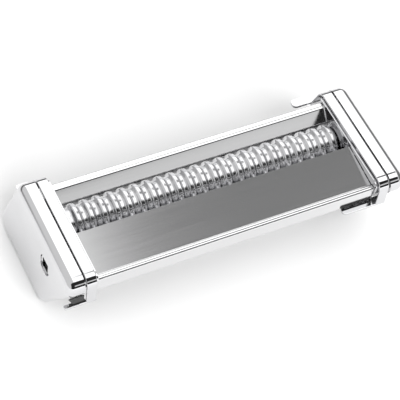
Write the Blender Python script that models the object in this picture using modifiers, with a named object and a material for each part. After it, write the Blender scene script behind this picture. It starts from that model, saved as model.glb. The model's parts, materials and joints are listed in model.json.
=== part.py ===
"""Thick-noodle cutter attachment for a hand-cranked pasta machine.

Two geared cutting rollers turn between two side plates. Chromed covers close the
ends, chromed straps with slide tabs carry the unit on the machine, and two sloping
feed plates lead the dough sheet into the rollers. +X runs along the rollers towards
the plain end, -Y is the front, +Z is up, and Z = 0 is the face the covers rest on.
"""
import math

import bmesh
import bpy
from mathutils import Matrix, Vector

MM = 0.001
GAP = 0.3 * MM

# End section, in (Y, Z): the outline that covers, straps and side plates share.
HEIGHT = 51 * MM
FRONT_Y = -42 * MM
KNEE_Z = 42 * MM
BOTTOM_FRONT_Y = -14.5 * MM
BOTTOM_BACK_Y = 46.5 * MM
TOP_BACK_Y = 26.3 * MM
SECTION = (
    (FRONT_Y, HEIGHT, 6 * MM),
    (FRONT_Y, KNEE_Z, 5 * MM),
    (BOTTOM_FRONT_Y, 0.0, 7 * MM),
    (BOTTOM_BACK_Y, 0.0, 9.5 * MM),
    (TOP_BACK_Y, HEIGHT, 6 * MM),
)

# Stations along X, the same on both sides.
PLATE_FACE_X = 78.6 * MM
PLATE_THICKNESS = 1.2 * MM
STRAP_IN_X = 79.7 * MM
STRAP_OUT_X = 85.4 * MM
COVER_IN_X = {"left": 86.3 * MM, "right": 85.7 * MM}
COVER_TOP_X = 95.2 * MM
COVER_FOOT_X = 98.0 * MM
COVER_WALL = 1.2 * MM
COVER_EDGE = {"left": 4.0 * MM, "right": 7.0 * MM}
PLATE_INSET = 1.9 * MM
STRAP_THICKNESS = 1.2 * MM

# Cutting rollers.
ROLLER_AXES = {"front": (-14.2 * MM, 33.8 * MM), "back": (4.8 * MM, 33.8 * MM)}
ROLLER_LENGTH = 156.4 * MM
RING_RADIUS = 10.2 * MM
GROOVE_RADIUS = 8.5 * MM
RING_PITCH = 7.0 * MM
RING_WIDTH = 3.3 * MM
BORE_RADIUS = 4.3 * MM
SHAFT_RADIUS = 4.0 * MM
ROLLER_STEPS = 20

SHAFT_END_X = 85.0 * MM
CLIP_X = 82.6 * MM

# Gears on the left, one on each shaft.
GEAR_TEETH = 19
GEAR_MODULE = 1.0 * MM
GEAR_WIDTH = 4.4 * MM
GEAR_IN_X = 83.4 * MM
SOCKET_RADIUS = 5.4 * MM
SOCKET_SQUARE = 6.4 * MM
SOCKET_OUT_X = 95.8 * MM

# Bushes in the side plates.
BUSH_RADIUS = 5.6 * MM
BUSH_FLANGE_RADIUS = 6.8 * MM
BUSH_BORE = 4.3 * MM

# Sheet parts: profiles in (Y, Z), inner edge to hem.
SHEET = 0.9 * MM
FEED_HALF_LENGTH = 78.3 * MM
FEED_FRONT = ((-10.4, 46.3), (-35.2, 43.3), (-36.2, 44.0), (-38.5, 44.0), (-38.8, 35.6))
FEED_BACK = ((13.1, 40.95), (18.6, 47.2), (22.2, 47.3), (24.8, 41.0))

# Slide tabs at the feet of the straps.
TAB_TOP_Z = {"left": 33.7 * MM, "right": 35.0 * MM}
TAB_THICKNESS = 1.5 * MM
TAB_FRONT_Y = {"left": (FRONT_Y, -39.6 * MM), "right": (FRONT_Y, -37.0 * MM)}
TAB_BACK_Y = {"left": (34.5 * MM, 38.0 * MM), "right": (32.6 * MM, 38.0 * MM)}
TAB_TIP_X = {
    ("left", "front"): -97.0 * MM, ("left", "back"): -91.5 * MM,
    ("right", "front"): 60.4 * MM, ("right", "back"): 69.5 * MM,
}
TAB_CORNER = 2.5 * MM

# Scraper combs under the rollers, one finger to a groove.
COMB_ANGLE = math.radians(30)
COMB_REACH = 9.35 * MM
COMB_FINGER = 9.0 * MM
COMB_BAR = 6.5 * MM
COMB_THICKNESS = 1.2 * MM
FINGER_WIDTH = 2.7 * MM
TENON_LENGTH = 3.5 * MM

# Tie rods between the side plates, at (Y, Z).
ROD_RADIUS = 2.6 * MM
RODS = {"front": (-27.5 * MM, 31 * MM), "lower": (-10.5 * MM, 7.5 * MM), "back": (29 * MM, 18 * MM)}
SCREW_RADIUS = 1.4 * MM
SCREW_HEAD_RADIUS = 2.7 * MM

CHROME = (0.80, 0.80, 0.81)
ALUMINIUM = (0.72, 0.72, 0.73)
STEEL = (0.42, 0.42, 0.43)
BLACK = (0.02, 0.02, 0.02)


def clear_scene():
    for item in list(bpy.data.objects):
        bpy.data.objects.remove(item, do_unlink=True)


def collection(name):
    group = bpy.data.collections.new(name)
    bpy.context.scene.collection.children.link(group)
    return group


def material(name, color, roughness, metallic):
    mat = bpy.data.materials.new(name)
    mat.use_nodes = True
    shader = mat.node_tree.nodes["Principled BSDF"]
    shader.inputs["Base Color"].default_value = (*color, 1.0)
    shader.inputs["Roughness"].default_value = roughness
    shader.inputs["Metallic"].default_value = metallic
    return mat


def finish(name, bm, mat, group=None, pivot=None):
    """Turn a bmesh into a named object; pivot is the empty on its joint's axis."""
    bmesh.ops.recalc_face_normals(bm, faces=bm.faces)
    mesh = bpy.data.meshes.new(name)
    bm.to_mesh(mesh)
    bm.free()
    mesh.materials.append(mat)
    item = bpy.data.objects.new(name, mesh)
    (group or PARTS).objects.link(item)
    if pivot:
        item.parent = pivot
        item.matrix_parent_inverse = Matrix.Translation(pivot.location).inverted()
    return item


def smooth(item):
    item.data.shade_smooth()
    item.data.set_sharp_from_angle(angle=math.radians(35))


def rounded(corners, steps=5):
    """Outline through (y, z, radius) corners, each rounded by an arc."""
    points = []
    count = len(corners)
    for i, (y, z, radius) in enumerate(corners):
        here = Vector((y, z))
        back = (Vector(corners[i - 1][:2]) - here).normalized()
        ahead = (Vector(corners[(i + 1) % count][:2]) - here).normalized()
        half = back.angle(ahead) / 2
        centre = here + (back + ahead).normalized() * radius / math.sin(half)
        start = here + back * radius / math.tan(half) - centre
        sweep = start.angle_signed(here + ahead * radius / math.tan(half) - centre)
        for step in range(steps + 1):
            turn = Matrix.Rotation(-sweep * step / steps, 2)
            points.append(centre + turn @ start)
    return points


def inset(corners, distance):
    """The same corners moved in by a distance, for a convex outline."""
    moved = []
    count = len(corners)
    middle = sum((Vector(c[:2]) for c in corners), Vector((0, 0))) / count
    for i, (y, z, radius) in enumerate(corners):
        here = Vector((y, z))
        back = (Vector(corners[i - 1][:2]) - here).normalized()
        ahead = (Vector(corners[(i + 1) % count][:2]) - here).normalized()
        half = back.angle(ahead) / 2
        inward = (back + ahead).normalized()
        if inward.dot(middle - here) < 0:
            inward.negate()
        point = here + inward * distance / math.sin(half)
        moved.append((point.x, point.y, max(radius - distance, 0.5 * MM)))
    return moved


def prism(outline, x0, x1):
    """A (y, z) outline extruded along X."""
    bm = bmesh.new()
    face = bm.faces.new([bm.verts.new((x0, y, z)) for y, z in outline])
    extruded = bmesh.ops.extrude_face_region(bm, geom=[face])
    moved = [v for v in extruded["geom"] if isinstance(v, bmesh.types.BMVert)]
    bmesh.ops.translate(bm, vec=(x1 - x0, 0, 0), verts=moved)
    return bm


def box(low, high):
    bm = bmesh.new()
    bmesh.ops.create_cube(bm, size=1)
    low, high = Vector(low), Vector(high)
    bmesh.ops.scale(bm, vec=high - low, verts=bm.verts)
    bmesh.ops.translate(bm, vec=(low + high) / 2, verts=bm.verts)
    return bm


def rod(y, z, x0, x1, radius, sides=20):
    """A cylinder along X."""
    bm = bmesh.new()
    place = Matrix.Translation(((x0 + x1) / 2, y, z)) @ Matrix.Rotation(math.pi / 2, 4, "Y")
    bmesh.ops.create_cone(bm, cap_ends=True, segments=sides, radius1=radius, radius2=radius,
                          depth=abs(x1 - x0), matrix=place)
    return bm


def stroke(path, thickness):
    """Closed outline of a sheet that follows a (y, z) path, thickness on its right."""
    points = [Vector(p) for p in path]
    sides = [(b - a).normalized() for a, b in zip(points, points[1:])]
    other = []
    for i, point in enumerate(points):
        before = sides[max(i - 1, 0)]
        after = sides[min(i, len(sides) - 1)]
        bisector = (before + after).normalized()
        normal = Vector((bisector.y, -bisector.x))
        other.append(point + normal * thickness / bisector.dot(before))
    return points + other[::-1]


def boolean(item, cutter_mesh, name, operation="DIFFERENCE"):
    cutter = finish(name, cutter_mesh, item.data.materials[0], CUTTERS)
    cutter.hide_render = True
    cutter.display_type = "WIRE"
    modifier = item.modifiers.new(name, "BOOLEAN")
    modifier.object = cutter
    modifier.operation = operation
    modifier.solver = "EXACT"


def side_sign(side):
    return -1 if side == "left" else 1


def make_cover(side, name):
    """A drawn steel shell, open towards the side plate; its end face leans out to the foot."""
    sign = side_sign(side)
    bm = bmesh.new()
    face = bm.faces.new([bm.verts.new((sign * COVER_IN_X[side], y, z)) for y, z in rounded(SECTION)])
    extruded = bmesh.ops.extrude_face_region(bm, geom=[face])
    moved = [v for v in extruded["geom"] if isinstance(v, bmesh.types.BMVert)]
    for vert in moved:
        vert.co.x = sign * (COVER_FOOT_X + (COVER_TOP_X - COVER_FOOT_X) * vert.co.z / HEIGHT)
    rim = [e for e in bm.edges if all(v in moved for v in e.verts)]
    bmesh.ops.delete(bm, geom=[f for f in bm.faces if not any(v in moved for v in f.verts)],
                     context="FACES_ONLY")
    bmesh.ops.bevel(bm, geom=rim, affect="EDGES", offset=COVER_EDGE[side], segments=4, profile=0.5,
                    clamp_overlap=True)
    cover = finish(name, bm, MATERIALS["chrome"])
    shell = cover.modifiers.new("wall", "SOLIDIFY")
    shell.thickness = COVER_WALL
    shell.offset = -1
    smooth(cover)
    if side == "left":
        y, z = ROLLER_AXES["front"]
        hole = rod(y, z, -COVER_FOOT_X - 1 * MM, -COVER_TOP_X + 6 * MM, SOCKET_RADIUS + 0.5 * MM)
        boolean(cover, hole, "socket_hole")
    return cover


def tab(x_tip, x_root, low, high, top):
    """A flat tab with its two free corners rounded."""
    bm = box((min(x_tip, x_root), low, top - TAB_THICKNESS), (max(x_tip, x_root), high, top))
    tip = [e for e in bm.edges if all(abs(v.co.x - x_tip) < 1e-7 for v in e.verts)
           and abs(e.verts[0].co.z - e.verts[1].co.z) > 1e-6]
    corner = min(TAB_CORNER, 0.45 * (high - low))
    bmesh.ops.bevel(bm, geom=tip, affect="EDGES", offset=corner, segments=4, profile=0.5)
    return bm


def make_strap(side):
    """The chromed strap over a side plate, with its two slide tabs."""
    sign = side_sign(side)
    top = TAB_TOP_Z[side]
    foot_z = top - TAB_THICKNESS
    slope = (BOTTOM_BACK_Y - TOP_BACK_Y) / HEIGHT
    arcs = rounded(SECTION)
    per_corner = len(arcs) // len(SECTION)
    back_foot = (TOP_BACK_Y + slope * (HEIGHT - foot_z), foot_z)
    path = [(FRONT_Y, foot_z)] + arcs[per_corner - 1::-1] + arcs[:-per_corner - 1:-1] + [back_foot]
    name = "strap_" + side
    x0, x1 = sorted((sign * STRAP_IN_X, sign * STRAP_OUT_X))
    strap = finish(name, prism(stroke(path, STRAP_THICKNESS), x0, x1), MATERIALS["chrome"])
    boolean(strap, tab(TAB_TIP_X[side, "front"], x1, *TAB_FRONT_Y[side], top), name + "_front_tab", "UNION")
    lug = box((x0, back_foot[0] - STRAP_THICKNESS, foot_z), (x1, TAB_BACK_Y[side][1] - 0.5 * MM, top))
    boolean(strap, lug, name + "_back_lug", "UNION")
    boolean(strap, tab(TAB_TIP_X[side, "back"], x1 - 0.5 * MM, *TAB_BACK_Y[side], top), name + "_back_tab", "UNION")
    return strap


def feed_profile(points):
    return stroke([(y * MM, z * MM) for y, z in points], SHEET)


def make_feed_plate(which, points):
    plate = finish("feed_plate_" + which, prism(feed_profile(points), -FEED_HALF_LENGTH, FEED_HALF_LENGTH),
                   MATERIALS["chrome"])
    return plate


def comb_place(which):
    """Matrix that carries the flat comb (X across, Y to the fingertips) under its roller."""
    y, z = ROLLER_AXES[which]
    toward = 1 if which == "front" else -1
    centre = Vector((0, y, z))
    down = Vector((0, toward * math.sin(COMB_ANGLE), -math.cos(COMB_ANGLE)))
    along = Vector((0, toward * math.cos(COMB_ANGLE), math.sin(COMB_ANGLE)))
    tip = centre + down * COMB_REACH + along * 2.5 * MM
    across = Vector((1, 0, 0))
    normal = across.cross(along)
    place = Matrix((across, along, normal)).transposed().to_4x4()
    place.translation = tip
    return place


def ring_centres(which):
    """X of each ring; the back roller's rings stand in the front roller's grooves."""
    shift = 0.25 if which == "back" else -0.25
    count = 22
    first = -(count - 1) / 2
    return [RING_PITCH * (first + i + shift) for i in range(count)]


def groove_centres(which):
    rings = ring_centres(which)
    return [(a + b) / 2 for a, b in zip(rings, rings[1:])]


def make_comb(which):
    """A flat plastic comb: a bar with a finger for every groove."""
    half = FEED_HALF_LENGTH
    outline = [(-half, -COMB_FINGER)]
    for x in groove_centres(which):
        for dx, y in ((-1, -COMB_FINGER), (-1, 0.0), (1, 0.0), (1, -COMB_FINGER)):
            outline.append((x + dx * FINGER_WIDTH / 2, y))
    outline.append((half, -COMB_FINGER))
    tenon_low = -COMB_FINGER - COMB_BAR + 1.5 * MM
    tenon_high = -COMB_FINGER - 1.5 * MM
    reach = PLATE_FACE_X + PLATE_THICKNESS
    outline += [(half, tenon_high), (reach, tenon_high), (reach, tenon_low), (half, tenon_low)]
    outline += [(half, -COMB_FINGER - COMB_BAR), (-half, -COMB_FINGER - COMB_BAR)]
    outline += [(-half, tenon_low), (-reach, tenon_low), (-reach, tenon_high), (-half, tenon_high)]
    bm = bmesh.new()
    face = bm.faces.new([bm.verts.new((x, y, -COMB_THICKNESS / 2)) for x, y in outline])
    extruded = bmesh.ops.extrude_face_region(bm, geom=[face])
    moved = [v for v in extruded["geom"] if isinstance(v, bmesh.types.BMVert)]
    bmesh.ops.translate(bm, vec=(0, 0, COMB_THICKNESS), verts=moved)
    bmesh.ops.transform(bm, matrix=comb_place(which), verts=bm.verts)
    return finish("scraper_comb_" + which, bm, MATERIALS["plastic"])


def make_side_plate(side):
    sign = side_sign(side)
    x0, x1 = sign * PLATE_FACE_X, sign * (PLATE_FACE_X + PLATE_THICKNESS)
    outline = rounded(inset(SECTION, PLATE_INSET))
    plate = finish("side_plate_" + side, prism(outline, x0, x1), MATERIALS["chrome"])
    past0, past1 = sign * (PLATE_FACE_X - 1 * MM), sign * (PLATE_FACE_X + PLATE_THICKNESS + 1 * MM)
    for which, (y, z) in ROLLER_AXES.items():
        boolean(plate, rod(y, z, past0, past1, BUSH_RADIUS + GAP / 3), f"{side}_{which}_bush_hole")
        bm = box((min(past0, past1), -COMB_FINGER - COMB_BAR + 1.2 * MM, -COMB_THICKNESS / 2 - GAP),
                 (max(past0, past1), -COMB_FINGER - 1.2 * MM, COMB_THICKNESS / 2 + GAP))
        bmesh.ops.transform(bm, matrix=comb_place(which), verts=bm.verts)
        boolean(plate, bm, f"{side}_{which}_comb_slot")
    for which, (y, z) in RODS.items():
        boolean(plate, rod(y, z, past0, past1, SCREW_RADIUS + 0.2 * MM, 12), f"{side}_{which}_rod_hole")
    return plate


def make_tie_rods():
    for which, (y, z) in RODS.items():
        half = FEED_HALF_LENGTH
        tie = finish("tie_rod_" + which, rod(y, z, -half, half, ROD_RADIUS, 16), MATERIALS["steel"])
        smooth(tie)
        for side in ("left", "right"):
            sign = side_sign(side)
            tap = rod(y, z, sign * (half - 7 * MM), sign * (half + 1 * MM), SCREW_RADIUS + 0.1 * MM, 12)
            boolean(tie, tap, f"{which}_{side}_tap")
            make_screw(f"rod_screw_{which}_{side}", y, z, sign)


def turned(name, profile, y, z, sign, mat, steps=20, pivot=None):
    """A (radius, x) profile turned about the X axis through (y, z), closed if it misses the axis."""
    bm = bmesh.new()
    verts = [bm.verts.new((radius, 0, x)) for radius, x in profile]
    for a, b in zip(verts, verts[1:]):
        bm.edges.new((a, b))
    if profile[0][0] > 0:
        bm.edges.new((verts[-1], verts[0]))
    mesh = bpy.data.meshes.new(name)
    bm.to_mesh(mesh)
    bm.free()
    mesh.materials.append(mat)
    item = bpy.data.objects.new(name, mesh)
    PARTS.objects.link(item)
    screw = item.modifiers.new("turn", "SCREW")
    screw.steps = screw.render_steps = steps
    screw.use_merge_vertices = True
    screw.merge_threshold = 0.00001
    screw.use_smooth_shade = False
    item.location = (0, y, z)
    item.rotation_euler = (0, sign * math.pi / 2, 0)
    if pivot:
        item.parent = pivot
        item.location = (0, 0, 0)
    return item


def make_screw(name, y, z, sign):
    """A pan-head screw through a side plate into the end of a tie rod."""
    seat = PLATE_FACE_X + PLATE_THICKNESS + 0.1 * MM
    top = seat + 1.8 * MM
    tip = FEED_HALF_LENGTH - 5.5 * MM
    profile = [(0, top), (SCREW_HEAD_RADIUS * 0.8, top), (SCREW_HEAD_RADIUS, top - 0.6 * MM),
               (SCREW_HEAD_RADIUS, seat), (SCREW_RADIUS, seat), (SCREW_RADIUS, tip), (0, tip)]
    turned(name, profile, y, z, sign, MATERIALS["steel"], 12)


def make_roller(which, pivot):
    y, z = ROLLER_AXES[which]
    half = ROLLER_LENGTH / 2
    profile = [(BORE_RADIUS, half)]
    for x in reversed(ring_centres(which)):
        high, low = min(x + RING_WIDTH / 2, half), max(x - RING_WIDTH / 2, -half)
        profile += [(GROOVE_RADIUS, high), (RING_RADIUS, high), (RING_RADIUS, low), (GROOVE_RADIUS, low)]
    if profile[1][1] < half - 0.01 * MM:
        profile.insert(1, (GROOVE_RADIUS, half))
    else:
        profile.pop(1)
    if profile[-1][1] > -half + 0.01 * MM:
        profile.append((GROOVE_RADIUS, -half))
    else:
        profile.pop()
    profile.append((BORE_RADIUS, -half))
    turned("cutter_roller_" + which, profile, y, z, 1, MATERIALS["aluminium"], ROLLER_STEPS, pivot)


def gear_outline():
    """Spur gear outline in (y, z) about its axis. A tooth faces +Y, so with an odd number a gap faces -Y."""
    pitch_radius = GEAR_TEETH * GEAR_MODULE / 2
    root = pitch_radius - 1.2 * GEAR_MODULE
    tip = pitch_radius + 0.85 * GEAR_MODULE
    tooth = math.tau / GEAR_TEETH
    flank = ((root, -0.31), (pitch_radius, -0.215), (tip, -0.10), (tip, 0.10), (pitch_radius, 0.215), (root, 0.31))
    points = []
    for i in range(GEAR_TEETH):
        for radius, share in flank:
            angle = (i + share) * tooth
            points.append((radius * math.cos(angle), radius * math.sin(angle)))
    return points


def make_gear(which, pivot):
    y, z = ROLLER_AXES[which]
    outline = [(y + dy, z + dz) for dy, dz in gear_outline()]
    x1 = -GEAR_IN_X
    gear = finish("roller_gear_" + which, prism(outline, x1 - GEAR_WIDTH, x1), MATERIALS["steel"], pivot=pivot)
    boolean(gear, rod(y, z, x1 - GEAR_WIDTH - 1 * MM, x1 + 1 * MM, SHAFT_RADIUS + 0.15 * MM), which + "_gear_bore")


def make_shaft(which, pivot):
    """A plain shaft with a clip groove near its right end."""
    y, z = ROLLER_AXES[which]
    left = -(GEAR_IN_X + GEAR_WIDTH + 1.2 * MM)
    neck = SHAFT_RADIUS - 0.6 * MM
    profile = [(0, SHAFT_END_X), (SHAFT_RADIUS, SHAFT_END_X), (SHAFT_RADIUS, CLIP_X + 0.5 * MM),
               (neck, CLIP_X + 0.5 * MM), (neck, CLIP_X - 0.5 * MM), (SHAFT_RADIUS, CLIP_X - 0.5 * MM),
               (SHAFT_RADIUS, left), (0, left)]
    turned("roller_shaft_" + which, profile, y, z, 1, MATERIALS["steel"], 20, pivot)


def make_clip(which, pivot):
    """A retaining clip in the shaft's groove: a ring with a mouth."""
    y, z = ROLLER_AXES[which]
    x = CLIP_X
    inner, outer = SHAFT_RADIUS - 0.4 * MM, SHAFT_RADIUS + 2.2 * MM
    mouth = math.radians(50)
    steps = 16
    angles = [mouth / 2 + (math.tau - mouth) * i / steps for i in range(steps + 1)]
    outline = [(y + outer * math.sin(a), z - outer * math.cos(a)) for a in angles]
    outline += [(y + inner * math.sin(a), z - inner * math.cos(a)) for a in reversed(angles)]
    finish("retaining_clip_" + which, prism(outline, x - 0.35 * MM, x + 0.35 * MM), MATERIALS["steel"], pivot=pivot)


def make_bush(side, which):
    """A flanged bush: its collar passes through the side plate, its flange lies outside."""
    y, z = ROLLER_AXES[which]
    sign = side_sign(side)
    seat = PLATE_FACE_X + PLATE_THICKNESS + 0.1 * MM
    start = PLATE_FACE_X + 0.1 * MM
    end = seat + 1.4 * MM
    profile = [(BUSH_BORE, end), (BUSH_FLANGE_RADIUS, end), (BUSH_FLANGE_RADIUS, seat),
               (BUSH_RADIUS, seat), (BUSH_RADIUS, start), (BUSH_BORE, start)]
    turned(f"bush_{which}_{side}", profile, y, z, sign, MATERIALS["plastic"], 20)


def make_socket(pivot):
    """The square crank socket on the end of the front shaft."""
    y, z = ROLLER_AXES["front"]
    inner = -(GEAR_IN_X + GEAR_WIDTH + 1.6 * MM)
    socket = finish("crank_socket", rod(y, z, -SOCKET_OUT_X, inner, SOCKET_RADIUS, 24), MATERIALS["steel"], pivot=pivot)
    smooth(socket)
    half = SOCKET_SQUARE / 2
    square = box((-SOCKET_OUT_X - 1 * MM, y - half, z - half), (inner - 1 * MM, y + half, z + half))
    boolean(socket, square, "crank_square")


def make_pivot(which):
    y, z = ROLLER_AXES[which]
    pivot = bpy.data.objects.new(which + "_roller_axis", None)
    pivot.location = (0, y, z)
    PARTS.objects.link(pivot)
    return pivot


def make_slide_pad():
    """The black plastic wedge between the left cover and its front tab, slanted at its free end."""
    low = TAB_TOP_Z["left"] + GAP
    high = low + 4.9 * MM
    outline = [(-41.0 * MM, low), (-37.2 * MM, low), (-40.6 * MM, high), (-41.0 * MM, high)]
    bm = prism(outline, -COVER_IN_X["left"], -94.6 * MM)
    for vert in bm.verts:
        if vert.co.x < -94 * MM:
            vert.co.x += 2.5 * MM * (high - vert.co.z) / (high - low)
    finish("slide_pad", bm, MATERIALS["plastic"])


clear_scene()
PARTS = collection("noodle_cutter_attachment")
CUTTERS = collection("cutters")
MATERIALS = {
    "chrome": material("chrome", CHROME, 0.08, 1.0),
    "aluminium": material("aluminium", ALUMINIUM, 0.25, 1.0),
    "steel": material("steel", STEEL, 0.35, 1.0),
    "plastic": material("plastic", BLACK, 0.5, 0.0),
}
make_cover("left", "gear_cover")
make_cover("right", "end_cover")
for side in ("left", "right"):
    make_strap(side)
    make_side_plate(side)
make_feed_plate("front", FEED_FRONT)
make_feed_plate("back", FEED_BACK)
make_tie_rods()
for which in ("front", "back"):
    pivot = make_pivot(which)
    make_roller(which, pivot)
    make_shaft(which, pivot)
    make_gear(which, pivot)
    make_clip(which, pivot)
    make_comb(which)
    for side in ("left", "right"):
        make_bush(side, which)
    if which == "front":
        make_socket(pivot)
make_slide_pad()
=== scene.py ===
import json
import math

import bmesh
import bpy
from mathutils import Matrix, Vector


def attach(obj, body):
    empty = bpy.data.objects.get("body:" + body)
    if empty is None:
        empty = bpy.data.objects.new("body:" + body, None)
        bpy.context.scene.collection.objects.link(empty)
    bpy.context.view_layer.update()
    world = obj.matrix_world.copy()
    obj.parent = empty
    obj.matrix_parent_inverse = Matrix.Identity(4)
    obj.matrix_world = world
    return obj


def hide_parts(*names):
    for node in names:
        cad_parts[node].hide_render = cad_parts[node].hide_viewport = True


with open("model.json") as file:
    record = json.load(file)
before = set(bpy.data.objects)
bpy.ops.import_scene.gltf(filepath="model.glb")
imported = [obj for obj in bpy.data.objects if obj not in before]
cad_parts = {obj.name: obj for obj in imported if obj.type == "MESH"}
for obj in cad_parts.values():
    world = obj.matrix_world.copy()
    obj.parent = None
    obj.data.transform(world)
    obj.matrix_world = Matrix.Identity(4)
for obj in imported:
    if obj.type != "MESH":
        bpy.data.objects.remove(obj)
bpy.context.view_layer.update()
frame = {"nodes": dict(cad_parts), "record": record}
mm = 0.001

print("camera")
shot = {"azimuth": -33.172, "elevation": 52.516, "roll": 9.687, "distance": 0.83783,
        "across": 0.0070986, "up": 0.011433, "aim": (0, -0.006, 0.051), "lens": 147.08, "sensor": 36}


def placeCamera():
    az, el, roll = (math.radians(shot[k]) for k in ("azimuth", "elevation", "roll"))
    back = Vector((math.sin(az) * math.cos(el), -math.cos(az) * math.cos(el), math.sin(el)))
    level = Vector((0, 0, 1)).cross(back).normalized()
    right = Matrix.Rotation(roll, 3, back) @ level
    up = back.cross(right)
    data = bpy.data.cameras.new("studioCamera")
    data.lens = shot["lens"]
    data.sensor_width = shot["sensor"]
    camera = bpy.data.objects.new("studioCamera", data)
    bpy.context.scene.collection.objects.link(camera)
    turn = Matrix((right, up, back)).transposed().to_4x4()
    spot = Vector(shot["aim"]) + back * shot["distance"] - right * shot["across"] - up * shot["up"]
    camera.matrix_world = Matrix.Translation(spot) @ turn
    bpy.context.scene.camera = camera


placeCamera()

print("floor and light")
studio = {"floorSize": 6.0, "floorDrop": 0.2 * mm, "floorColour": (0.78, 0.78, 0.78),
          "floorRoughness": 0.9, "floorGloss": 0.1, "tent": 2.0, "overheadCard": 0.24, "frontCard": 0.03,
          "frontWindow": 0.92, "leftWall": 0.90, "rightWall": 0.25, "horizon": 0.20,
          "fillPower": 75.0, "fillSize": 2.0, "fillSpot": (0, -1.8, 1.4), "fillTilt": 52}


def linkNew(name, mesh):
    obj = bpy.data.objects.new(name, mesh)
    bpy.context.scene.collection.objects.link(obj)
    return obj


def makeFloor():
    bm = bmesh.new()
    bmesh.ops.create_grid(bm, x_segments=1, y_segments=1, size=studio["floorSize"] / 2)
    bmesh.ops.translate(bm, vec=(0, 0, -studio["floorDrop"]), verts=bm.verts)
    mesh = bpy.data.meshes.new("studioFloor")
    bm.to_mesh(mesh)
    bm.free()
    floor = linkNew("studioFloor", mesh)
    paper = bpy.data.materials.new("floorPaper")
    paper.use_nodes = True
    shader = paper.node_tree.nodes["Principled BSDF"]
    shader.inputs["Base Color"].default_value = (*studio["floorColour"], 1)
    shader.inputs["Roughness"].default_value = studio["floorRoughness"]
    shader.inputs["Specular IOR Level"].default_value = studio["floorGloss"]
    mesh.materials.append(paper)


def makeWorld():  # a bright tent with grey cards, placed by the direction (x, y, z) they are seen in
    world = bpy.data.worlds.new("studioTent")
    bpy.context.scene.world = world
    world.use_nodes = True
    tree = world.node_tree
    background = tree.nodes["Background"]
    coord = tree.nodes.new("ShaderNodeTexCoord")
    split = tree.nodes.new("ShaderNodeSeparateXYZ")
    tree.links.new(coord.outputs["Generated"], split.inputs["Vector"])
    x, y, z = (split.outputs[k] for k in "XYZ")

    def edge(value, start, end):  # 0 at start, 1 at end
        step = tree.nodes.new("ShaderNodeMapRange")
        step.interpolation_type = "SMOOTHSTEP"
        flip = start > end
        step.inputs["From Min"].default_value, step.inputs["From Max"].default_value = sorted((start, end))
        step.inputs["To Min"].default_value, step.inputs["To Max"].default_value = (1, 0) if flip else (0, 1)
        tree.links.new(value, step.inputs["Value"])
        return step.outputs["Result"]

    def both(a, b):
        step = tree.nodes.new("ShaderNodeMath")
        step.operation = "MULTIPLY"
        tree.links.new(a, step.inputs[0])
        tree.links.new(b, step.inputs[1])
        return step.outputs["Value"]

    def between(value, low, high, soft=0.06):  # 1 from low to high
        return both(edge(value, low - soft, low), edge(value, high + soft, high))

    def hang(under, mask, tone):  # a card of one tone in front of what is there
        step = tree.nodes.new("ShaderNodeMix")
        tree.links.new(mask, step.inputs["Factor"])
        if isinstance(under, float):
            step.inputs["A"].default_value = under
        else:
            tree.links.new(under, step.inputs["A"])
        step.inputs["B"].default_value = tone
        return step.outputs["Result"]

    light = hang(studio["tent"], edge(x, 0.12, -0.08), studio["leftWall"])
    light = hang(light, both(edge(y, 0.50, 0.60), edge(z, 0.42, 0.28)), studio["horizon"])
    overhead = both(between(x, 0.31, 0.56, 0.13), between(y, 0.21, 0.42, 0.03))
    light = hang(light, overhead, studio["overheadCard"])
    light = hang(light, edge(x, 0.58, 0.80), studio["rightWall"])
    front = both(edge(y, -0.40, -0.50), between(x, -0.60, 0.62))
    light = hang(light, front, studio["frontCard"])
    window = both(front, both(between(z, 0.32, 0.45, 0.03), edge(x, 0.05, 0.20)))
    light = hang(light, window, studio["frontWindow"])
    tree.links.new(light, background.inputs["Strength"])
    background.inputs["Color"].default_value = (1, 1, 1, 1)
    bpy.context.scene.view_settings.view_transform = "Standard"


def makeFill():  # lights the floor in front, and no polished face mirrors it
    data = bpy.data.lights.new("floorFill", "AREA")
    data.shape = "DISK"
    data.size = studio["fillSize"]
    data.energy = studio["fillPower"]
    lamp = bpy.data.objects.new("floorFill", data)
    tilt = Matrix.Rotation(math.radians(studio["fillTilt"]), 4, "X")
    lamp.matrix_world = Matrix.Translation(studio["fillSpot"]) @ tilt
    lamp.visible_glossy = False
    bpy.context.scene.collection.objects.link(lamp)


makeFloor()
makeWorld()
makeFill()

print("finishes")


def newFinish(name, colour, roughness, metallic):
    mat = bpy.data.materials.new(name)
    mat.use_nodes = True
    shader = mat.node_tree.nodes["Principled BSDF"]
    shader.inputs["Base Color"].default_value = (*colour, 1)
    shader.inputs["Roughness"].default_value = roughness
    shader.inputs["Metallic"].default_value = metallic
    return mat


def addNoise(mat, scale, stretch, detail=3.0):
    tree = mat.node_tree
    coord = tree.nodes.new("ShaderNodeTexCoord")
    mapping = tree.nodes.new("ShaderNodeMapping")
    mapping.inputs["Scale"].default_value = stretch
    noise = tree.nodes.new("ShaderNodeTexNoise")
    noise.inputs["Scale"].default_value = scale
    noise.inputs["Detail"].default_value = detail
    tree.links.new(coord.outputs["Object"], mapping.inputs["Vector"])
    tree.links.new(mapping.outputs["Vector"], noise.inputs["Vector"])
    return noise.outputs["Fac"]


def spread(mat, value, low, high, start=0.3, end=0.7):  # noise rarely leaves 0.3 to 0.7
    tree = mat.node_tree
    step = tree.nodes.new("ShaderNodeMapRange")
    step.inputs["From Min"].default_value, step.inputs["From Max"].default_value = start, end
    step.inputs["To Min"].default_value, step.inputs["To Max"].default_value = low, high
    tree.links.new(value, step.inputs["Value"])
    return step.outputs["Result"]


def addRoughness(mat, value, low, high):
    tree = mat.node_tree
    tree.links.new(spread(mat, value, low, high), tree.nodes["Principled BSDF"].inputs["Roughness"])


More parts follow.
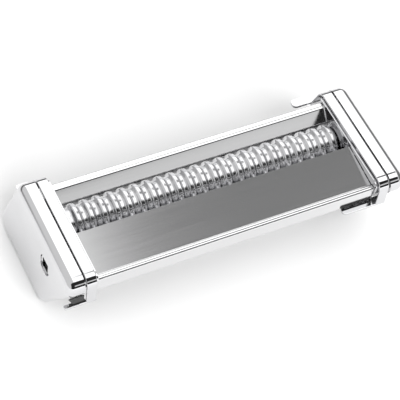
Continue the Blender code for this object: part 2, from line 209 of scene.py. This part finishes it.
def addColour(mat, value, dark, light):
    tree = mat.node_tree
    mix = tree.nodes.new("ShaderNodeMix")
    mix.data_type = "RGBA"
    mix.inputs["A"].default_value = (*dark, 1)
    mix.inputs["B"].default_value = (*light, 1)
    tree.links.new(spread(mat, value, 0, 1), mix.inputs["Factor"])
    tree.links.new(mix.outputs["Result"], tree.nodes["Principled BSDF"].inputs["Base Color"])


def addBump(mat, value, height, strength=1.0, under=None):
    tree = mat.node_tree
    bump = tree.nodes.new("ShaderNodeBump")
    bump.inputs["Distance"].default_value = height
    bump.inputs["Strength"].default_value = strength
    tree.links.new(value, bump.inputs["Height"])
    if under:
        tree.links.new(under, bump.inputs["Normal"])
    tree.links.new(bump.outputs["Normal"], tree.nodes["Principled BSDF"].inputs["Normal"])
    return bump.outputs["Normal"]


chrome = newFinish("polishedChrome", (0.63, 0.63, 0.64), 0.05, 1.0)
smears = addNoise(chrome, 60, (1, 1, 1))
addRoughness(chrome, smears, 0.03, 0.09)
addColour(chrome, smears, (0.62, 0.62, 0.63), (0.65, 0.65, 0.66))
ripple = addBump(chrome, addNoise(chrome, 25, (1, 1, 1), 1.0), 0.00006)
addBump(chrome, addNoise(chrome, 900, (1, 6, 6)), 0.000002, under=ripple)

sheetSteel = newFinish("brightSheetSteel", (0.68, 0.68, 0.69), 0.12, 1.0)
grain = addNoise(sheetSteel, 700, (0.03, 1, 1))
addRoughness(sheetSteel, grain, 0.11, 0.13)
addColour(sheetSteel, addNoise(sheetSteel, 90, (0.2, 1, 1)), (0.675, 0.675, 0.68), (0.69, 0.69, 0.695))
addBump(sheetSteel, grain, 0.0000004)

turned = newFinish("turnedAluminium", (0.56, 0.56, 0.57), 0.25, 1.0)
toolMarks = addNoise(turned, 900, (1, 0.02, 0.02))
addRoughness(turned, toolMarks, 0.15, 0.25)
addColour(turned, addNoise(turned, 260, (1, 0.3, 0.3)), (0.48, 0.48, 0.49), (0.66, 0.66, 0.67))
addBump(turned, toolMarks, 0.00002)

zinc = newFinish("zincSteel", (0.5, 0.5, 0.5), 0.3, 1.0)
spangle = addNoise(zinc, 220, (1, 1, 1))
addRoughness(zinc, spangle, 0.22, 0.42)
addColour(zinc, spangle, (0.44, 0.44, 0.45), (0.60, 0.60, 0.61))
addBump(zinc, addNoise(zinc, 1500, (1, 1, 1)), 0.00001)

nylon = newFinish("blackNylon", (0.02, 0.02, 0.02), 0.4, 0.0)
moulding = addNoise(nylon, 1200, (1, 1, 1))
addRoughness(nylon, moulding, 0.35, 0.55)
addColour(nylon, addNoise(nylon, 150, (1, 1, 1)), (0.012, 0.012, 0.012), (0.03, 0.03, 0.03))
addBump(nylon, moulding, 0.00002)

finishes = {"chrome": chrome, "aluminium": turned, "steel": zinc, "plastic": nylon}
for entry in frame["record"]["subparts"]:
    item = frame["nodes"][entry["node"]]
    item.data.materials.clear()
    item.data.materials.append(finishes[entry["material_slot"]])


def smoothFaces(obj, sharp=35, even=True):
    obj.data.shade_smooth()
    obj.data.set_sharp_from_angle(angle=math.radians(sharp))
    if even:  # flat faces stay flat, only the rounded strips between them shade softly
        step = obj.modifiers.new("evenFaces", "WEIGHTED_NORMAL")
        step.keep_sharp = True


def finishPiece(name, bm, mat, body, nodes, sharp=35, even=True):
    bmesh.ops.remove_doubles(bm, verts=bm.verts, dist=1e-6)
    bmesh.ops.recalc_face_normals(bm, faces=bm.faces)
    mesh = bpy.data.meshes.new(name)
    bm.to_mesh(mesh)
    bm.free()
    mesh.materials.append(mat)
    obj = linkNew(name, mesh)
    smoothFaces(obj, sharp, even)
    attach(obj, body)
    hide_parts(*nodes)
    return obj


def bevelSharp(bm, width, segments, angle=40):
    keen = [e for e in bm.edges if e.is_manifold and e.calc_face_angle(0) > math.radians(angle)]
    bmesh.ops.bevel(bm, geom=keen, affect="EDGES", offset=width, segments=segments, profile=0.5, material=-1,
                    clamp_overlap=True)


def combine(obj, bm, operation):  # cut or join with a throwaway solid
    mesh = bpy.data.meshes.new("tool")
    bm.to_mesh(mesh)
    bm.free()
    mesh.materials.append(obj.data.materials[0])
    tool = linkNew("tool", mesh)
    obj.modifiers.clear()
    step = obj.modifiers.new("combine", "BOOLEAN")
    step.object = tool
    step.operation = operation
    step.solver = "EXACT"
    graph = bpy.context.evaluated_depsgraph_get()
    shape = bpy.data.meshes.new_from_object(obj.evaluated_get(graph))
    obj.modifiers.clear()
    old = obj.data
    obj.data = shape
    bpy.data.meshes.remove(old)
    bpy.data.objects.remove(tool)
    smoothFaces(obj)


def roundCorners(bm, verts, radii, segments):
    for vert, radius in zip(verts, radii):
        if not radius:
            continue
        arms = [(e.other_vert(vert).co - vert.co) for e in vert.link_edges]
        half = arms[0].angle(arms[1]) / 2
        bmesh.ops.bevel(bm, geom=[vert], affect="VERTICES", offset=radius / math.tan(half), segments=segments,
                        profile=0.5, material=-1)


def bentSheet(spots, startX, width, cornerSteps):  # an open sheet along X through (y, z, radius) spots
    bm = bmesh.new()
    verts = [bm.verts.new((startX, y, z)) for y, z, r in spots]
    for pair in zip(verts, verts[1:]):
        bm.edges.new(pair)
    roundCorners(bm, verts, [r for y, z, r in spots], cornerSteps)
    sweep = bmesh.ops.extrude_edge_only(bm, edges=bm.edges[:])
    moved = [v for v in sweep["geom"] if isinstance(v, bmesh.types.BMVert)]
    bmesh.ops.translate(bm, vec=(width, 0, 0), verts=moved)
    bmesh.ops.recalc_face_normals(bm, faces=bm.faces)
    if sum(f.normal.z * f.calc_area() for f in bm.faces) < 0:
        bmesh.ops.reverse_faces(bm, faces=bm.faces)
    return bm


# the (y, z) each roller turns about
axes = {"front": (-14.2 * mm, 33.8 * mm), "back": (4.8 * mm, 33.8 * mm)}
# the outline of both ends, corners as (y, z, radius) in millimetres
endSection = {"height": 51 * mm,
              "corners": ((-42, 51, 6), (-42, 42, 5), (-14.5, 0, 7), (46.2, 0, 9.5), (26.3, 51, 6))}

print("covers")
cover = {"inside": 86.3 * mm, "top": 95.2 * mm, "foot": 98.0 * mm, "wall": 1.2 * mm, "steps": 8,
         "edge": {"left": 4.0 * mm, "right": 4.6 * mm}, "holeRadius": 5.65 * mm, "holeDepth": 12 * mm}


def makeCover(side, name, node):
    sign = -1 if side == "left" else 1
    bm = bmesh.new()
    verts = [bm.verts.new((sign * cover["inside"], y * mm, z * mm)) for y, z, r in endSection["corners"]]
    bm.faces.new(verts)
    roundCorners(bm, verts, [r * mm for y, z, r in endSection["corners"]], cover["steps"])
    extruded = bmesh.ops.extrude_face_region(bm, geom=bm.faces[:])
    moved = {v for v in extruded["geom"] if isinstance(v, bmesh.types.BMVert)}
    for vert in moved:  # the end face leans out to the foot
        vert.co.x = sign * (cover["foot"] + (cover["top"] - cover["foot"]) * vert.co.z / endSection["height"])
    rim = [e for e in bm.edges if moved.issuperset(e.verts)]
    bmesh.ops.delete(bm, geom=[f for f in bm.faces if not moved.intersection(f.verts)], context="FACES_ONLY")
    bmesh.ops.bevel(bm, geom=rim, affect="EDGES", offset=cover["edge"][side], segments=cover["steps"],
                    profile=0.5, material=-1)
    bmesh.ops.recalc_face_normals(bm, faces=bm.faces)
    bmesh.ops.solidify(bm, geom=bm.faces[:], thickness=cover["wall"])
    return finishPiece(name, bm, chrome, "frame", [node])


gearCover = makeCover("left", "gearCoverShell", "gear_cover")
makeCover("right", "endCoverShell", "end_cover")

print("hole for the crank socket")


def drillCover():
    bm = bmesh.new()
    y, z = axes["front"]
    place = Matrix.Translation((-cover["top"], y, z)) @ Matrix.Rotation(math.pi / 2, 4, "Y")
    radius = cover["holeRadius"]
    bmesh.ops.create_cone(bm, cap_ends=True, segments=64, radius1=radius, radius2=radius,
                          depth=cover["holeDepth"], matrix=place)
    combine(gearCover, bm, "DIFFERENCE")


drillCover()

print("crank socket")
socket = {"radius": 5.4 * mm, "square": 6.4 * mm, "outside": 95.8 * mm, "inside": 89.4 * mm,
          "chamfer": 0.5 * mm}


def makeSocket():
    y, z = axes["front"]
    length = socket["outside"] - socket["inside"]
    middle = Matrix.Translation((-(socket["outside"] + socket["inside"]) / 2, y, z))
    bm = bmesh.new()
    bmesh.ops.create_cone(bm, cap_ends=True, segments=64, radius1=socket["radius"], radius2=socket["radius"],
                          depth=length, matrix=middle @ Matrix.Rotation(math.pi / 2, 4, "Y"))
    bevelSharp(bm, socket["chamfer"], 3, 60)
    sleeve = finishPiece("crankSocketSleeve", bm, sheetSteel, "front_roller", ["crank_socket"])
    square = bmesh.new()
    size = Matrix.Diagonal((2 * length, socket["square"], socket["square"], 1))
    bmesh.ops.create_cube(square, size=1, matrix=middle @ size)
    combine(sleeve, square, "DIFFERENCE")


makeSocket()

print("straps with their slide tabs")
strap = {"inside": 79.7 * mm, "outside": 85.4 * mm, "sheet": 1.2 * mm, "edge": 0.45 * mm, "steps": 8,
         "tabSheet": 1.5 * mm, "tabCorner": 2.5 * mm, "tabEdge": 0.25 * mm, "tabSteps": 8,
         "overlap": 0.3 * mm, "backOverlap": 0.7 * mm, "lugGap": 0.5 * mm, "play": 0.05 * mm,
         "tabTop": {"left": 33.7 * mm, "right": 35.0 * mm},
         # tabs as (tip x, front y, back y) in millimetres
         "frontTab": {"left": (-97.0, -42.0, -39.6), "right": (60.4, -42.0, -37.0)},
         "backTab": {"left": (-91.5, 34.5, 38.0), "right": (69.5, 32.6, 38.0)}}


def makeTab(tipX, rootX, low, high, top, corner):
    bm = bmesh.new()
    size = (abs(rootX - tipX), high - low, strap["tabSheet"])
    middle = ((rootX + tipX) / 2, (low + high) / 2, top - size[2] / 2)
    bmesh.ops.create_cube(bm, size=1, matrix=Matrix.Translation(middle) @ Matrix.Diagonal((*size, 1)))
    if corner:
        tip = [e for e in bm.edges if all(abs(v.co.x - tipX) < 1e-6 for v in e.verts)
               and abs(e.verts[0].co.z - e.verts[1].co.z) > 1e-6]
        bmesh.ops.bevel(bm, geom=tip, affect="EDGES", offset=min(corner, 0.45 * (high - low)),
                        segments=strap["tabSteps"], profile=0.5, material=-1)
    bevelSharp(bm, strap["tabEdge"], 2, 60)
    return bm


def makeStrap(side):
    sign = -1 if side == "left" else 1
    top = strap["tabTop"][side]
    foot = top - strap["tabSheet"]
    corners = endSection["corners"]
    slope = (corners[3][0] - corners[4][0]) * mm / endSection["height"]
    backFoot = corners[4][0] * mm + slope * (endSection["height"] - foot)
    frontY = corners[0][0] * mm
    bends = [(y * mm, z * mm, r * mm) for y, z, r in (corners[0], corners[4])]
    spots = [(frontY, foot, 0), *bends, (backFoot, foot, 0)]
    width = sign * (strap["outside"] - strap["inside"])
    bm = bentSheet(spots, sign * strap["inside"], width, strap["steps"])
    bmesh.ops.solidify(bm, geom=bm.faces[:], thickness=strap["sheet"])
    bevelSharp(bm, strap["edge"], 4, 60)
    obj = finishPiece(side + "StrapBand", bm, chrome, "frame", ["strap_" + side])
    play = strap["play"]  # keeps the joined faces from lying in one plane
    root = sign * (strap["outside"] - strap["overlap"])
    tipX, low, high = (v * mm for v in strap["frontTab"][side])
    combine(obj, makeTab(tipX, root, low + play, high, top - play, strap["tabCorner"]), "UNION")
    tipX, low, high = (v * mm for v in strap["backTab"][side])
    lugX = sign * (strap["inside"] + strap["overlap"])
    lug = makeTab(lugX, root, backFoot - strap["sheet"], high - strap["lugGap"], top - play, 0)
    combine(obj, lug, "UNION")
    root = sign * (strap["outside"] - strap["backOverlap"])
    combine(obj, makeTab(tipX, root, low, high, top - 2 * play, strap["tabCorner"]), "UNION")


makeStrap("left")
makeStrap("right")

print("cutting rollers")
roller = {"shift": {"front": -1.75 * mm, "back": 1.75 * mm}, "length": 156.4 * mm,
          "ringRadius": 10.15 * mm, "grooveRadius": 8.5 * mm, "bore": 4.3 * mm, "pitch": 7.0 * mm,
          "rings": 22, "chamfer": 0.3 * mm, "shoulder": 0.4 * mm, "squareness": 2.2, "samples": 18,
          "steps": 64}


def makeRoller(which):
    y, z = axes[which]
    shift = roller["shift"][which]
    half = roller["length"] / 2
    high, low, pitch = roller["ringRadius"], roller["grooveRadius"], roller["pitch"]
    reach = roller["rings"] * roller["samples"] // 2
    chamfer = roller["chamfer"]
    points = [(-half, roller["bore"]), (-half, low - chamfer), (-half + chamfer, low)]
    for i in range(-reach, reach + 1):  # rounded rings and hollow grooves in turn
        x = i * pitch / roller["samples"] + shift
        turn = math.tau * (x - shift) / pitch + math.pi
        wave = math.tanh(roller["squareness"] * math.cos(turn))
        lift = 0.5 + 0.5 * wave / math.tanh(roller["squareness"])
        if abs(x) < half - roller["shoulder"]:
            points.append((x, low + (high - low) * lift))
    points += [(half - chamfer, low), (half, low - chamfer), (half, roller["bore"])]
    bm = bmesh.new()
    verts = [bm.verts.new((x, y + r, z)) for x, r in points]
    loop = [bm.edges.new(pair) for pair in zip(verts, verts[1:] + verts[:1])]
    bmesh.ops.spin(bm, geom=verts + loop, axis=(1, 0, 0), cent=(0, y, z), steps=roller["steps"],
                   angle=math.tau, use_merge=True, use_duplicate=False)
    finishPiece(which + "RollerRings", bm, turned, which + "_roller", ["cutter_roller_" + which],
                sharp=60, even=False)


makeRoller("front")
makeRoller("back")

print("feed plates")
# outlines as (y, z, radius) in millimetres
feed = {"halfLength": 78.3 * mm, "sheet": 0.9 * mm, "lip": 0.3 * mm, "steps": 4,
        "front": ((-10.4, 46.3, 0), (-35.2, 43.3, 0.5), (-36.2, 44.0, 0.5), (-38.5, 44.0, 1.3),
                  (-38.8, 35.6, 0)),
        "back": ((13.1, 40.95, 0), (18.6, 47.2, 2.2), (22.2, 47.3, 1.2), (24.8, 41.0, 0))}


def makeFeedPlate(which):
    half = feed["halfLength"]
    spots = [(y * mm, z * mm, r * mm) for y, z, r in feed[which]]
    bm = bentSheet(spots, -half, 2 * half, feed["steps"])
    if which == "front":  # its outline is the underside
        bmesh.ops.translate(bm, vec=(0, 0, feed["sheet"]), verts=bm.verts)
    bmesh.ops.solidify(bm, geom=bm.faces[:], thickness=feed["sheet"])
    bevelSharp(bm, feed["lip"], 3, 70)
    finishPiece(which + "FeedSheet", bm, sheetSteel, "frame", ["feed_plate_" + which])


makeFeedPlate("front")
makeFeedPlate("back")

bpy.context.view_layer.update()
print("done")
